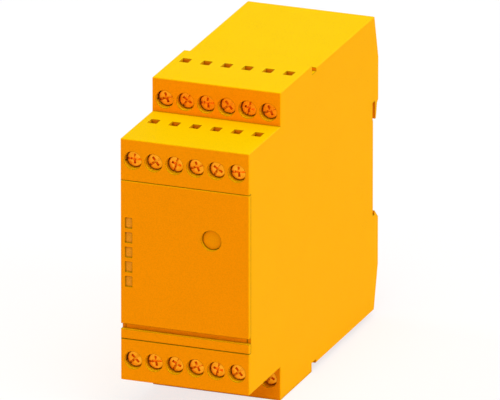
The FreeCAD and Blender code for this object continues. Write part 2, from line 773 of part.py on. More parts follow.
def make_chip(name, along):
    """One of the two controllers that watch each other, with gull-wing leads."""
    chip = RELAY_SEAT.part(name, along, "-relay_width", [])
    chip.add("top", "0", "chip_height", box_round("0", "0", "chip_length / 2", "chip_width / 2"))
    leads = [box_round(f"({n - (CHIP_LEADS - 1) / 2} * chip_pitch)", "0", "chip_pitch / 6",
                       "(chip_width / 2 + 1.4)") for n in range(CHIP_LEADS)]
    chip.add("top", "0", "chip_height / 5", *leads)


def make_led(number, level):
    """Surface-mounted status light on the front board."""
    led = FRONT_SEAT.part(f"status_led_{number}", "window_x", level, [])
    led.add("top", "0", "led_height / 2", box_round("0", "0", "led_width / 2", "led_length / 2"))
    led.add("top", "led_height / 2 - 0.05", "led_height",
            box_round("0", "0", "led_width / 2 - 0.15", "led_length / 2 - 0.35"))


def make_switch():
    """Push switch under the reset button, with a bore for its plunger."""
    pins = grid(["-switch_size / 2 + 0.7", "switch_size / 2 - 0.7"],
                ["-switch_size / 2 + 0.7", "switch_size / 2 - 0.7"])
    switch = FRONT_SEAT.part("reset_switch", "button_across", "button_level", pins)
    switch.add("top", "0", "switch_height", box_round("0", "0", "switch_size / 2", "switch_size / 2"))
    FRONT_SEAT.pins(switch, pins)
    switch.cut("top", "switch_height / 4", "switch_height + 1",
               circle("0", "0", "plunger_radius + plunger_fit"))


def make_header(name, right, upright):
    """Right-angle pin header between a side board and the front board or a terminal board."""
    hand = "" if right else "-"
    header = Piece(name)
    near, far = f"{hand}(side_board - header_size)", f"{hand}side_board"
    if not right:
        near, far = far, near
    middle = f"{hand}(side_board - header_size / 2)"
    reach = "(header_pitch * 4)"
    ends = ("side_board - 0.1", "side_board_out") if right else ("-side_board_out", "-side_board + 0.1")
    if upright == "":
        y_pin = "(front_board_back + header_size / 2)"
        header.add("top", f"-{reach}", reach,
                   rectangle(near, far, "front_board_back", "front_board_back + header_size"))
        header.add("front", "front_board", "front_board_back + 0.1",
                   *[circle(middle, shift, "header_pin") for shift in pin_shifts()])
        header.add("side", *ends, *[circle(y_pin, shift, "header_pin") for shift in pin_shifts()])
        FRONT_SEAT.holes.extend(
            circle(middle, shift, "header_pin + hole_fit") for shift in pin_shifts())
        side_holes = [circle(y_pin, shift, "header_pin + hole_fit") for shift in pin_shifts()]
    else:
        sign = "" if upright == "up" else "-"
        levels = ("board_under - header_drop", "board_under")
        lifts = ("board_under - 0.1", "board_top")
        if sign:
            levels = tuple(f"-({level})" for level in reversed(levels))
            lifts = tuple(f"-({level})" for level in reversed(lifts))
        z_pin = f"{sign}(board_under - header_drop + 1)"
        spots = [f"(header_y + {shift})" for shift in pin_shifts()]
        header.add("side", near, far,
                   rectangle(f"header_y - {reach}", f"header_y + {reach}", *levels))
        header.add("top", *lifts, *[circle(middle, spot, "header_pin") for spot in spots])
        header.add("side", *ends, *[circle(spot, z_pin, "header_pin") for spot in spots])
        side_holes = [circle(spot, z_pin, "header_pin + hole_fit") for spot in spots]
    (RELAY_SEAT if right else POWER_SEAT).holes.extend(side_holes)


def make_side_board(name, seat, low, high):
    """Tall side board with a narrower tongue that reaches forward between the terminal boards."""
    board = Piece(name)
    board.add("side", low, high, polygon([
        ("front_board_back + slack", "-tongue"),
        ("side_board_step", "-tongue"),
        ("side_board_step", "-rear_inner + slack"),
        ("side_board_rear", "-rear_inner + slack"),
        ("side_board_rear", "rear_inner - slack"),
        ("side_board_step", "rear_inner - slack"),
        ("side_board_step", "tongue"),
        ("front_board_back + slack", "tongue"),
    ]))
    board.cut("side", f"{low} - 1", f"{high} + 1", *seat.holes)


def make_front_board():
    """Board behind the front cover, with the status lights and the reset switch."""
    board = Piece("front_board")
    board.add("front", "front_board", "front_board_back",
              rectangle("-inner + slack", "inner - slack", "-board_under + slack", "board_under - slack"))
    board.cut("front", "front_board - 1", "front_board_back + 1", *FRONT_SEAT.holes)


def make_light_guide():
    """Tinted light guide: five lenses on one strip, from the lights to the windows."""
    guide = Piece("light_guide")
    lenses = [box_round("window_x", z, "(window_width / 2 - lens_fit)", "(window_height / 2 - lens_fit)")
              for z in light_levels()]
    guide.add("front", "front + lens_recess", "front_board - led_height - slack", *lenses)
    low, high = light_levels()[0], light_levels()[-1]
    guide.add("front", "cover_back + slack", "cover_back + slack + panel",
              rectangle("window_x - window_width / 2 + lens_fit", "window_x + window_width / 2 - lens_fit",
                        f"{low} - window_pitch / 2", f"{high} + window_pitch / 2"))


# ---------------------------------------------------------------- moving parts

def coil_spring(name, at, turn, wire, radius, length, turns):
    """Compression spring standing on +Z between two flat faces."""
    spring = Piece(name, at, turn)
    wire_centre = f"{wire} / 2"
    coil = spring.body.newObject("PartDesign::AdditiveHelix", f"{name}_helix")
    coil.Profile = spring.sketch("front", "0", [circle(radius, wire_centre, wire_centre)])
    coil.ReferenceAxis = (coil.Profile[0], ["V_Axis"])
    coil.Mode = "height-turns-angle"
    coil.setExpression("Height", formula(f"{length} - {wire}"))
    coil.Turns = turns
    spring.body.Tip = coil


def make_button():
    """Reset button cap, held behind the cover by its flange."""
    cap = Piece("reset_button", ("button_across", "0", "button_level"))
    cap.add("front", "button_y", "flange_back", circle("0", "0", "button_radius"))
    cap.round_edges("Fillet", "button_recess / 4", lambda edge: (
        abs(edge.BoundBox.Center.y - value("button_y")) < 0.01))
    cap.add("front", "flange_front", "flange_back", circle("0", "0", "button_flange"))
    cap.add("front", "flange_back - 0.1", "plunger_front", circle("0", "0", "button_stem"))
    plunger = Piece("switch_plunger", ("button_across", "0", "button_level"))
    plunger.add("front", "plunger_front", "front_board - switch_height / 4 - button_travel - slack / 2",
                circle("0", "0", "plunger_radius"))
    coil_spring("button_spring", ("button_across", "switch_front", "button_level"), FACE_FRONT,
                "spring_wire", "spring_radius", "(switch_front - flange_back)", 2.5)


def make_slider():
    """Sprung slider in the upper rail slot, that holds the casing up on the rail."""
    slider = Piece("rail_slider")
    slider.add("top", "rail_high - slider_tip", "flange_high",
               rectangle("-slider_half", "slider_half", "-slot_relief + slider_fit",
                         "slot_back - slider_fit"))
    slider.add("top", "flange_low", "flange_high",
               rectangle("-slider_half", "slider_half", "seat_back + slack", "back - wall - slack"))
    slider.add("top", "flange_high - 0.1", "flange_high + peg_height",
               *[circle(f"{sign}peg_reach", "slider_y", "peg_radius") for sign in ("", "-")])
    for side, sign in (("left", "-"), ("right", "")):
        coil_spring(f"slider_spring_{side}", (f"{sign}peg_reach", "slider_y", "flange_high"),
                    Rotation(), "coil_wire", "coil_radius", "coil_free", 5)


# ---------------------------------------------------------------- whole relay

def make_electronics():
    make_relay("force_guided_relay_1", "relay_z")
    make_relay("force_guided_relay_2", "(relay_z - relay_width - relay_gap)")
    make_transformer()
    make_capacitor("smoothing_capacitor_1", "can_pitch / 2")
    make_capacitor("smoothing_capacitor_2", "-can_pitch / 2")
    make_fuse()
    make_varistor()
    make_bridge()
    make_chip("controller_chip_1", "(relay_y - chip_length)")
    make_chip("controller_chip_2", "(relay_y + chip_length)")
    for number, level in enumerate(reversed(light_levels()), start=1):
        make_led(number, level)
    make_switch()
    make_header("front_header_right", True, "")
    make_header("front_header_left", False, "")
    make_header("upper_header", True, "up")
    make_header("lower_header", False, "down")
    make_side_board("relay_board", RELAY_SEAT, "side_board", "side_board_out")
    make_side_board("power_board", POWER_SEAT, "-side_board_out", "-side_board")
    make_front_board()


make_housing()
make_side_cover()
make_front_cover()
for row in ROWS:
    make_block(row)
    make_screws(row)
    make_cages(row)
    make_bars(row)
make_terminal_board("upper_terminal_board", False)
make_terminal_board("lower_terminal_board", True)
make_electronics()
make_light_guide()
make_button()
make_slider()
doc.recompute()

# ---------------------------------------------------------------- checks and export

for item in doc.Objects:
    if "Invalid" in item.State or "Error" in item.State:
        raise RuntimeError(f"{item.Label} failed: {item.State}")
    if item.TypeId == "PartDesign::Pocket":
        before = item.BaseFeature.Shape.Volume
        if item.Shape.Volume > before - 0.001:
            raise RuntimeError(f"{item.Label} cuts nothing")

for item in doc.findObjects("PartDesign::Body"):
    shape = item.Shape
    if shape.isNull() or not shape.isValid():
        raise RuntimeError(f"{item.Label} has no valid shape")
    shape.exportStep(f"parts/{item.Label}.step")
    print(f"{item.Label}: {len(shape.Solids)} solids, {shape.Volume:.1f} mm3")
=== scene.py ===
# %% [markdown]
# # A safety relay in its moulded housing
# This lesson dresses a safety relay for a control cabinet: a narrow orange-yellow box
# that clips on a rail, with two steps of terminal screws above and below its front.
# The shapes come from a CAD frame that is already right, so the work here is finish,
# light and camera. Each step is a note like this one and then a short piece of code.

# %% Load the frame
import math

import bmesh
import bpy
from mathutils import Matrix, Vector


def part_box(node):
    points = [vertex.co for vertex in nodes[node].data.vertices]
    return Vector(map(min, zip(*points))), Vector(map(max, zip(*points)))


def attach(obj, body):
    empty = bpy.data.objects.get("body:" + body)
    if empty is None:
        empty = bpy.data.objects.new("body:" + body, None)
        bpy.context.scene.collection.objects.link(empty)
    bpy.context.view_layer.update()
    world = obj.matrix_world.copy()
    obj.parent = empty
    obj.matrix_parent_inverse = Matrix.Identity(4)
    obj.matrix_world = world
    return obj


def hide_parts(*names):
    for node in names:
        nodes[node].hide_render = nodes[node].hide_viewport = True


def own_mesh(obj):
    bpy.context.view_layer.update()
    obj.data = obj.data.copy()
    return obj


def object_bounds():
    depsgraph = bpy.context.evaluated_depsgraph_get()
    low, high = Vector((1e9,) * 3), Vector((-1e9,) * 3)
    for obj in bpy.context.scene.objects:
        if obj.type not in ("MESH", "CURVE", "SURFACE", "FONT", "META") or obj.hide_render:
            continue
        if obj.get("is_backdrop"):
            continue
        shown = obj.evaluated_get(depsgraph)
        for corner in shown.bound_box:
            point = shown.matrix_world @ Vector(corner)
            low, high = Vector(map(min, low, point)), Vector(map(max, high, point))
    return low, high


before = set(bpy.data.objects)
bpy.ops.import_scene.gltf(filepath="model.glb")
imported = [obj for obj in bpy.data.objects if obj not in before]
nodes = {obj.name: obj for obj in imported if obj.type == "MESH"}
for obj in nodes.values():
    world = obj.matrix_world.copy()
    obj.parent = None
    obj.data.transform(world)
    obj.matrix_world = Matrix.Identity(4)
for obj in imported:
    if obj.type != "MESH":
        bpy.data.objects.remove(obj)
cad_low, cad_high = (Vector(corner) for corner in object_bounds())
print("solids:", len(nodes), "box in mm:",
      [round(side * 1000, 1) for side in cad_high - cad_low])

# %% [markdown]
# ## Millimetres and colours
# Blender works in metres and in linear light, while a maker writes millimetres and the
# hex numbers of a colour card. One factor turns millimetres into metres and one function
# turns a hex colour into linear light, so that every size and colour below can be
# written the way it is spoken of.

# %% Units
MM = 0.001


def linear(hex_colour):
    """An sRGB hex colour as the linear red, green, blue and alpha that nodes use."""
    parts = [int(hex_colour[i:i + 2], 16) / 255 for i in (1, 3, 5)]
    return [p / 12.92 if p <= 0.04045 else ((p + 0.055) / 1.055) ** 2.4
            for p in parts] + [1.0]


print("a strong orange in linear light:", [round(c, 3) for c in linear("#F28C00")])

# %% [markdown]
# ## One function that adds a node
# A material is a small graph. Adding a node by hand takes a line for the node, a line
# for each setting and a line for each link, so one function does all three. An input
# that is given a socket is linked to it, and any other value is typed into the input.
# A new material brings its shader along, so filling inputs is a step of its own too.

# %% Node helper
# Input and output numbers of the Mix node when it mixes colours.
MIX_A, MIX_B, MIX_OUT = 6, 7, 2


def fill(tree, node, inputs):
    """Links each input that is given a socket, and types any other value into it."""
    for name, given in inputs.items():
        if isinstance(given, bpy.types.NodeSocket):
            tree.links.new(given, node.inputs[name])
        else:
            node.inputs[name].default_value = given


def add_node(tree, kind, inputs=None, **settings):
    """Adds one node with its settings, and fills or links the inputs that are given."""
    node = tree.nodes.new(kind)
    for name, setting in settings.items():
        setattr(node, name, setting)
    fill(tree, node, inputs or {})
    return node


def begin(name):
    """A new material: its node tree, its shader and each point's place in metres."""
    material = bpy.data.materials.new(name)
    material.use_nodes = True
    tree = material.node_tree
    shader = tree.nodes["Principled BSDF"]
    place = add_node(tree, "ShaderNodeTexCoord").outputs["Object"]
    return material, tree, shader, place


def per_metre(size_mm):
    """The noise scale whose patches are about this many millimetres across."""
    return 1 / (size_mm * MM)


print("patches of 0.5 mm need a noise scale of", per_metre(0.5))

# %% [markdown]
# ## The casing: pigmented polyamide with painted light and shade by facing
# The housing, its side cover and the snap-in front are injection moulded from polyamide
# with an orange-yellow pigment, which swirls a little as the plastic flows in. Its colour
# holds painted light and shade: the faces that look up take a lit yellow, the flanks a
# shaded amber and the front the deepest orange, three lit and shaded copies of one
# plastic. A texture wrapped round the box could show that, but it would need unwrapping.
# Here the way each face looks picks among the three colours, and the flow clouds deepen
# them a little. Deepening a colour by a guide value comes back in every finish with
# seams or edges, so it is a function.

# %% Plastic with painted light and shade by facing
PAINTED_LIT_TOP = "#FFCE00"      # painted light on what looks up: clear yellow
PAINTED_FLANK_SHADE = "#FCB000"       # painted shade on the left and right sides: amber
PAINTED_FRONT_SHADE = "#FF9400"      # painted deepest shade on front, back and what looks down
FLOW_PATCH_MM = 14.0          # clouds in the pigment along the flow
NOISE_LOW, NOISE_HIGH = 0.3, 0.7    # nearly all of a noise pattern lies between these


def deepened(tree, colour, guide, guide_range, left_range):
    """The same colour, of which the guide's value says how large a part is left."""
    left = add_node(tree, "ShaderNodeMapRange",
                    {"Value": guide, "From Min": guide_range[0],
                     "From Max": guide_range[1], "To Min": left_range[0],
                     "To Max": left_range[1]})
    return add_node(tree, "ShaderNodeMix",
                    {0: 1.0, MIX_A: colour, MIX_B: left.outputs["Result"]},
                    data_type="RGBA", blend_type="MULTIPLY").outputs[MIX_OUT]


def painted_light_colour(tree, place, eased, top, flank, front):
    """Painted light and shade: one plastic in three shades, picked by the way a face
    looks, with flow clouds.
    """
    axes = add_node(tree, "ShaderNodeSeparateXYZ", {"Vector": eased})
    across = add_node(tree, "ShaderNodeMath", {0: axes.outputs["X"]},
                      operation="ABSOLUTE")
    body = add_node(tree, "ShaderNodeMix",
                    {0: across.outputs[0], MIX_A: linear(front), MIX_B: linear(flank)},
                    data_type="RGBA")
    # Mix holds its factor between 0 and 1, so what looks down keeps the body's shade.
    painted_light = add_node(tree, "ShaderNodeMix",
                     {0: axes.outputs["Z"], MIX_A: body.outputs[MIX_OUT],
                      MIX_B: linear(top)}, data_type="RGBA")
    clouds = add_node(tree, "ShaderNodeTexNoise",
                      {"Vector": place, "Scale": per_metre(FLOW_PATCH_MM),
                       "Detail": 3.0, "Roughness": 0.6})
    return deepened(tree, painted_light.outputs[MIX_OUT], clouds.outputs["Fac"],
                    (NOISE_LOW, NOISE_HIGH), (0.975, 1.0))


print("faded colours: up", PAINTED_LIT_TOP, "flank", PAINTED_FLANK_SHADE, "front", PAINTED_FRONT_SHADE)

# %% [markdown]
# ## Edges and hollows: painted shade where a moulding reads darker
# No moulded edge is sharp. The Bevel node turns the normal gently round each corner, as
# the real edge does, and where that parts from the flat normal there is an edge, which
# takes a painted shade, a deeper tone. Seams, slots and holes are dark because light
# hardly gets in. The renderer shows that by itself, but at this size the seams are finer
# than it can draw, so Ambient Occlusion finds what is closed in and deepens the colour
# there as painted shade. A painted map could hold both, but it would be tied to this one
# shape.

# %% Edges and hollows
EDGE_SHADE_LEFT = 0.40              # of the colour left by the painted shade along an edge
EDGE_AGREES = (0.84, 0.995)   # eased against flat normal: from a full edge to a flat face


def painted_edge_shade(tree, colour, eased):
    """Painted shade: the same colour, deeper along edges, where the eased and the flat
    normal part.
    """
    flat = add_node(tree, "ShaderNodeNewGeometry").outputs["Normal"]
    agree = add_node(tree, "ShaderNodeVectorMath", {0: eased, 1: flat},
                     operation="DOT_PRODUCT")
    return deepened(tree, colour, agree.outputs["Value"], EDGE_AGREES, (EDGE_SHADE_LEFT, 1.0))


def hollow_shade(tree, colour, reach_mm, left):
    """Painted shade: the same colour, less of it left where other surfaces are closer than
    the reach.
    """
    closed = add_node(tree, "ShaderNodeAmbientOcclusion",
                      {"Distance": reach_mm * MM}, samples=6)
    return deepened(tree, colour, closed.outputs["AO"], (0.0, 0.9), (left, 1.0))


print("the colour left along an edge:", EDGE_SHADE_LEFT)

# %% [markdown]
# ## The casing: a fine matt texture from the tool
# The tool's walls are spark eroded, which leaves an even matt grain on the moulding. One
# noise pattern makes it: as a bump it gives the relief, and as a tone and a roughness it
# keeps the relief visible where the light is even. Real displacement could do it too,
# but for a grain of this height it would cost a huge mesh and look no better.

# %% Casing plastic
SPARK_GRAIN_MM = 0.5          # the tool's grain is nearer 0.1 mm; drawn coarser to show
EASED_EDGE_MM = 0.36          # the radius at which light runs round an edge
HOLLOW_REACH_MM = 1.6         # painted shade in seams and holes within this reach
HOLLOW_LEFT = 0.48            # what the painted shade leaves of the colour in a closed corner


def moulded_polyamide(name, shades, grain_mm, grain_height_mm, roughness):
    """Matt moulded plastic: its painted shades by facing, and the width and height of the
    tool's grain.
    """
    material, tree, shader, place = begin(name)
    eased = add_node(tree, "ShaderNodeBevel", {"Radius": EASED_EDGE_MM * MM},
                     samples=6).outputs["Normal"]
    grain = add_node(tree, "ShaderNodeTexNoise",
                     {"Vector": place, "Scale": per_metre(grain_mm),
                      "Detail": 2.0}).outputs["Fac"]
    # Painted light and shade by facing, then painted shade along the edges.
    colour = painted_edge_shade(tree, painted_light_colour(tree, place, eased, *shades), eased)
    colour = deepened(tree, colour, grain, (0.35, 0.6), (0.93, 1.0))
    relief = add_node(tree, "ShaderNodeBump",
                      {"Height": grain, "Distance": grain_height_mm * MM,
                       "Strength": 0.6, "Normal": eased})
    gloss = add_node(tree, "ShaderNodeMapRange",
                     {"Value": grain, "From Min": NOISE_LOW, "From Max": NOISE_HIGH,
                      "To Min": roughness - 0.05, "To Max": roughness + 0.05})
    fill(tree, shader, {
        # Painted shade in seams and holes.
        "Base Color": hollow_shade(tree, colour, HOLLOW_REACH_MM, HOLLOW_LEFT),
        "Normal": relief.outputs["Normal"],
        "Roughness": gloss.outputs["Result"],
        "IOR": 1.53,                     # polyamide
        "Specular IOR Level": 0.01,      # matt, so little sheen
    })
    return material


casing = moulded_polyamide("moulded_polyamide_orange",
                           (PAINTED_LIT_TOP, PAINTED_FLANK_SHADE, PAINTED_FRONT_SHADE),
                           SPARK_GRAIN_MM, grain_height_mm=0.07, roughness=0.55)
print("casing grain", SPARK_GRAIN_MM, "mm, pigment clouds", FLOW_PATCH_MM, "mm")

# %% [markdown]
# ## The reset button: the same plastic, polished in its tool
# The button is a separate moulding that a finger presses. Its tool is polished and use
# rubs it smoother still, so it is the casing's plastic with a finer grain and a lower
# roughness, which gives a soft highlight beside the matt front.

# %% Button plastic
# It takes the casing's painted light and shade by facing, with a lighter front shade that
# offsets its painted hollow shade.
button_plastic = moulded_polyamide("polished_polyamide_orange",
                                   (PAINTED_LIT_TOP, PAINTED_FLANK_SHADE, "#FF9C00"),
                                   grain_mm=0.4, grain_height_mm=0.008, roughness=0.34)
print("made", button_plastic.name)

# %% [markdown]
# ## The terminal blocks: glass-filled polyamide
# The blocks behind the screw holes are moulded in a stronger plastic, filled with glass
# fibre. It is a deeper orange and rougher, and only shows through the holes. Fine light
# flecks stand for the fibres that lie at the surface.

# %% Terminal block plastic
FIBRE_MM = 0.35               # fibre bundles; single fibres are far too fine to show
BORE_REACH_MM = 2.5           # painted shade on the blocks within this reach of a wall
block, tree, shader, place = begin("glass_filled_polyamide")
fibres = add_node(tree, "ShaderNodeTexNoise",
                  {"Vector": place, "Scale": per_metre(FIBRE_MM), "Detail": 3.0,
                   "Distortion": 1.5}).outputs["Fac"]
fleck = add_node(tree, "ShaderNodeMapRange",
                 {"Value": fibres, "From Min": 0.45, "From Max": 0.75})
block_colour = add_node(tree, "ShaderNodeMix",
                        {0: fleck.outputs["Result"], MIX_A: linear("#D97A00"),
                         MIX_B: linear("#EE9A1C")}, data_type="RGBA")
block_relief = add_node(tree, "ShaderNodeBump",
                        {"Height": fibres, "Distance": 0.02 * MM, "Strength": 0.5})
fill(tree, shader, {
    # Painted shade on the blocks near the walls of their bores.
    "Base Color": hollow_shade(tree, block_colour.outputs[MIX_OUT], BORE_REACH_MM,
                               left=0.6),
    "Normal": block_relief.outputs["Normal"],
    "Roughness": 0.6,
    "IOR": 1.55,
})
print("made", block.name)

# %% [markdown]
# ## The light windows: amber polycarbonate
# Five small windows pass the light of the status lamps behind the front board. They are
# one moulding of clear polycarbonate with an amber dye, frosted on its face so that the
# lamp behind it glows evenly. With the lamps off the windows read as the front's orange,
# a little deeper and glossier. A part-transmitting shader does this, with the dye in its
# colour, and faint streaks of roughness for the frosting.

# %% Amber windows
RIM_REACH_MM = 0.65           # a painted shade line this wide along the window's frame
FROST_MM = 0.5
window, tree, shader, place = begin("frosted_polycarbonate_amber")
frost = add_node(tree, "ShaderNodeTexNoise",
                 {"Vector": place, "Scale": per_metre(FROST_MM),
                  "Detail": 4.0}).outputs["Fac"]
dye = add_node(tree, "ShaderNodeMix",
               {0: frost, MIX_A: linear("#FF9800"), MIX_B: linear("#FFA600")},
               data_type="RGBA")
frosting = add_node(tree, "ShaderNodeMapRange",
                    {"Value": frost, "From Min": NOISE_LOW, "From Max": NOISE_HIGH,
                     "To Min": 0.18, "To Max": 0.34})
fill(tree, shader, {
    # Painted shade along the window's frame.
    "Base Color": hollow_shade(tree, dye.outputs[MIX_OUT], RIM_REACH_MM, left=0.0),
    "Roughness": frosting.outputs["Result"],
    "IOR": 1.585,
    "Specular IOR Level": 0.06,          # frosted, so little sheen
    "Transmission Weight": 0.12,
})
print("made", window.name)

# %% [markdown]
# ## The terminal screws: steel, zinc plated and yellow passivated
# Terminal screws are cold-headed steel, plated with zinc and dipped in a passivating
# bath that leaves a thin golden film with a hint of red and green. The film pools
# unevenly, so two golds are mixed in small patches, and the turned head shows fine
# marks that catch the light. A metal's colour is its reflection, so it goes in the
# base colour with metallic at one, and the index of refraction keeps its default.

# %% Screw plating
FILM_PATCH_MM = 1.8           # where the passivation has pooled
TURNING_MARK_MM = 0.25
SLOT_REACH_MM = 0.5           # painted shade in the slots within this reach
screw, tree, shader, place = begin("steel_yellow_passivated")
film = add_node(tree, "ShaderNodeTexNoise",
                {"Vector": place, "Scale": per_metre(FILM_PATCH_MM), "Detail": 3.0})
film_part = add_node(tree, "ShaderNodeMapRange",
                     {"Value": film.outputs["Fac"], "From Min": 0.35, "From Max": 0.65})
gold = add_node(tree, "ShaderNodeMix",
                {0: film_part.outputs["Result"], MIX_A: linear("#F2940E"),
                 MIX_B: linear("#FFA824")}, data_type="RGBA")
marks = add_node(tree, "ShaderNodeTexNoise",
                 {"Vector": place, "Scale": per_metre(TURNING_MARK_MM),
                  "Detail": 2.0}).outputs["Fac"]
mark_relief = add_node(tree, "ShaderNodeBump",
                       {"Height": marks, "Distance": 0.01 * MM, "Strength": 0.5})
mark_gloss = add_node(tree, "ShaderNodeMapRange",
                      {"Value": marks, "From Min": NOISE_LOW, "From Max": NOISE_HIGH,
                       "To Min": 0.27, "To Max": 0.40})
fill(tree, shader, {
    # Painted shade in the head's slots.
    "Base Color": hollow_shade(tree, gold.outputs[MIX_OUT], SLOT_REACH_MM, left=0.7),
    "Normal": mark_relief.outputs["Normal"],
    "Roughness": mark_gloss.outputs["Result"],
    "Metallic": 1.0,
})
print("made", screw.name)

# %% [markdown]
# ## Metals inside the terminals and the springs
# The clamp cages are bent from zinc plated strip, the contact bars are copper with a
# matt tin coat, and the springs are drawn wire. All are hidden or nearly so. One
# function makes them: rolled and drawn metal shows fine streaks along the way it was
# pulled, so the noise is stretched along that way before it drives colour and gloss.

# %% Drawn and rolled metals


def drawn_metal(name, bright, dull, streak_mm, stretch, roughness):
    """Bare or plated metal with streaks as wide as streak_mm along the stretched axis."""
    material, tree, shader, place = begin(name)
    pulled = add_node(tree, "ShaderNodeMapping", {"Vector": place, "Scale": stretch})
    streaks = add_node(tree, "ShaderNodeTexNoise",
                       {"Vector": pulled.outputs["Vector"],
                        "Scale": per_metre(streak_mm), "Detail": 4.0}).outputs["Fac"]
    tone = add_node(tree, "ShaderNodeMix",
                    {0: streaks, MIX_A: linear(dull), MIX_B: linear(bright)},
                    data_type="RGBA")
    gloss = add_node(tree, "ShaderNodeMapRange",
                     {"Value": streaks, "From Min": NOISE_LOW, "From Max": NOISE_HIGH,
                      "To Min": roughness - 0.06, "To Max": roughness + 0.08})
    fill(tree, shader, {
        "Base Color": tone.outputs[MIX_OUT],
        "Roughness": gloss.outputs["Result"],
        "Metallic": 1.0,
    })
    return material


# Name, bright and dull tone, streak in mm, stretch along x, y and z, roughness.
cage = drawn_metal("steel_strip_zinc_plated", "#D5D8DA", "#A3A7AB", 0.4, (1, 0.1, 1),
                   0.32)
contact = drawn_metal("copper_matt_tin_plated", "#DAD8D2", "#B9B5AC", 0.3, (1, 1, 0.1),
                      0.38)
spring = drawn_metal("spring_wire_drawn", "#C9CBCE", "#8A8D92", 0.2, (1, 1, 0.2), 0.28)
print("made", cage.name, contact.name, spring.name)

# %% [markdown]
# ## Hidden parts: plain but real
# Boards, relays, capacitors and the rest sit inside the closed case. Each still gets
# the look of its real material, from one function for moulded or dipped parts: two
# close tones in patches of a real size, a slight relief and a typical gloss.

# %% Moulded and dipped parts


def mottled(name, light, dark, patch_mm, relief_mm, roughness, ior):
    """A moulded or dipped part in two close tones with a slight relief."""
    material, tree, shader, place = begin(name)
    patches = add_node(tree, "ShaderNodeTexNoise",
                       {"Vector": place, "Scale": per_metre(patch_mm),
                        "Detail": 4.0}).outputs["Fac"]
    tone = add_node(tree, "ShaderNodeMix",
                    {0: patches, MIX_A: linear(dark), MIX_B: linear(light)},
                    data_type="RGBA")
    relief = add_node(tree, "ShaderNodeBump",
                      {"Height": patches, "Distance": relief_mm * MM, "Strength": 0.5})
    fill(tree, shader, {
        "Base Color": tone.outputs[MIX_OUT],
        "Normal": relief.outputs["Normal"],
        "Roughness": roughness,
        "IOR": ior,
    })
    return material


# Name, light and dark tone, patch and relief in mm, roughness, index of refraction.
relay_case = mottled("polyester_case_moulded", "#F0EEE6", "#DEDBD0", 1.2, 0.02, 0.45,
                     1.57)
potting = mottled("epoxy_potting_cast", "#2C2F33", "#1C1E21", 3.0, 0.04, 0.4, 1.55)
component = mottled("epoxy_moulded_black", "#303235", "#1E2022", 0.5, 0.02, 0.5, 1.55)
varistor_coat = mottled("epoxy_dipped_blue", "#2F5FA8", "#234A88", 1.5, 0.05, 0.3, 1.55)
lamp_body = mottled("led_silicone_moulded", "#F4EFC8", "#E2D89A", 0.4, 0.01, 0.3, 1.41)
slider_plastic = mottled("acetal_slider_moulded", "#FFA81A", "#F09400", 0.8, 0.02, 0.42,
                         1.48)
print("made five hidden finishes and", slider_plastic.name)

# %% [markdown]
# ## Circuit boards: woven glass and epoxy under green lacquer
# A board is woven glass cloth set in epoxy, with copper tracks under a green lacquer.
# The weave shows as a fine grid and the tracks as slightly paler lanes. A brick pattern
# gives the lanes at the pitch of the real tracks and a checker gives the weave.

# %% Board lacquer
TRACK_PITCH_MM = 2.54         # the grid that parts are placed on
TRACK_GAP_MM = 0.25
WEAVE_MM = 0.5
board, tree, shader, place = begin("glass_epoxy_board_green")
lanes = add_node(tree, "ShaderNodeTexBrick",
                 {"Vector": place, "Color1": linear("#1F6B45"),
                  "Color2": linear("#24784E"), "Mortar": linear("#16533A"),
                  "Scale": 1.0, "Brick Width": 4 * TRACK_PITCH_MM * MM,
                  "Row Height": TRACK_PITCH_MM * MM, "Mortar Size": TRACK_GAP_MM * MM})
weave = add_node(tree, "ShaderNodeTexChecker",
                 {"Vector": place, "Scale": per_metre(WEAVE_MM)})
weave_relief = add_node(tree, "ShaderNodeBump",
                        {"Height": weave.outputs["Fac"], "Distance": 0.01 * MM,
                         "Strength": 0.4})
fill(tree, shader, {
    "Base Color": lanes.outputs["Color"],
    "Normal": weave_relief.outputs["Normal"],
    "Roughness": 0.35,
    "IOR": 1.52,
})
print("made", board.name)

# %% [markdown]
# ## Capacitor sleeves: shrunk vinyl with a pale stripe
# The two big capacitors wear a dark vinyl sleeve, shrunk on with heat, and a pale
# stripe runs along the can on the side of its negative lead. A wave pattern whose bands
# are wider than the can gives one stripe, and the sleeve's fine wrinkles are a bump.

# %% Capacitor sleeve
BAND_MM = 60.0                # wider than the can, so that one stripe shows
WRINKLE_MM = 1.0
sleeve, tree, shader, place = begin("vinyl_sleeve_shrunk")
band = add_node(tree, "ShaderNodeTexWave",
                {"Vector": place, "Scale": per_metre(BAND_MM), "Distortion": 0.0},
                bands_direction="Z")
stripe = add_node(tree, "ShaderNodeMapRange",
                  {"Value": band.outputs["Fac"], "From Min": 0.80, "From Max": 0.84})
sleeve_colour = add_node(tree, "ShaderNodeMix",
                         {0: stripe.outputs["Result"], MIX_A: linear("#23262B"),
                          MIX_B: linear("#8C9096")}, data_type="RGBA")
wrinkles = add_node(tree, "ShaderNodeTexNoise",
                    {"Vector": place, "Scale": per_metre(WRINKLE_MM), "Detail": 3.0})
wrinkle_relief = add_node(tree, "ShaderNodeBump",
                          {"Height": wrinkles.outputs["Fac"], "Distance": 0.02 * MM,
                           "Strength": 0.5})
fill(tree, shader, {
    "Base Color": sleeve_colour.outputs[MIX_OUT],
    "Normal": wrinkle_relief.outputs["Normal"],
    "Roughness": 0.3,
    "IOR": 1.54,
})
print("made", sleeve.name)

# %% [markdown]
# ## Dress every solid
# Each CAD solid says which finish it takes by the name of its material slot. A table
# from slot to material keeps that in one place, and a missing name stops the script.

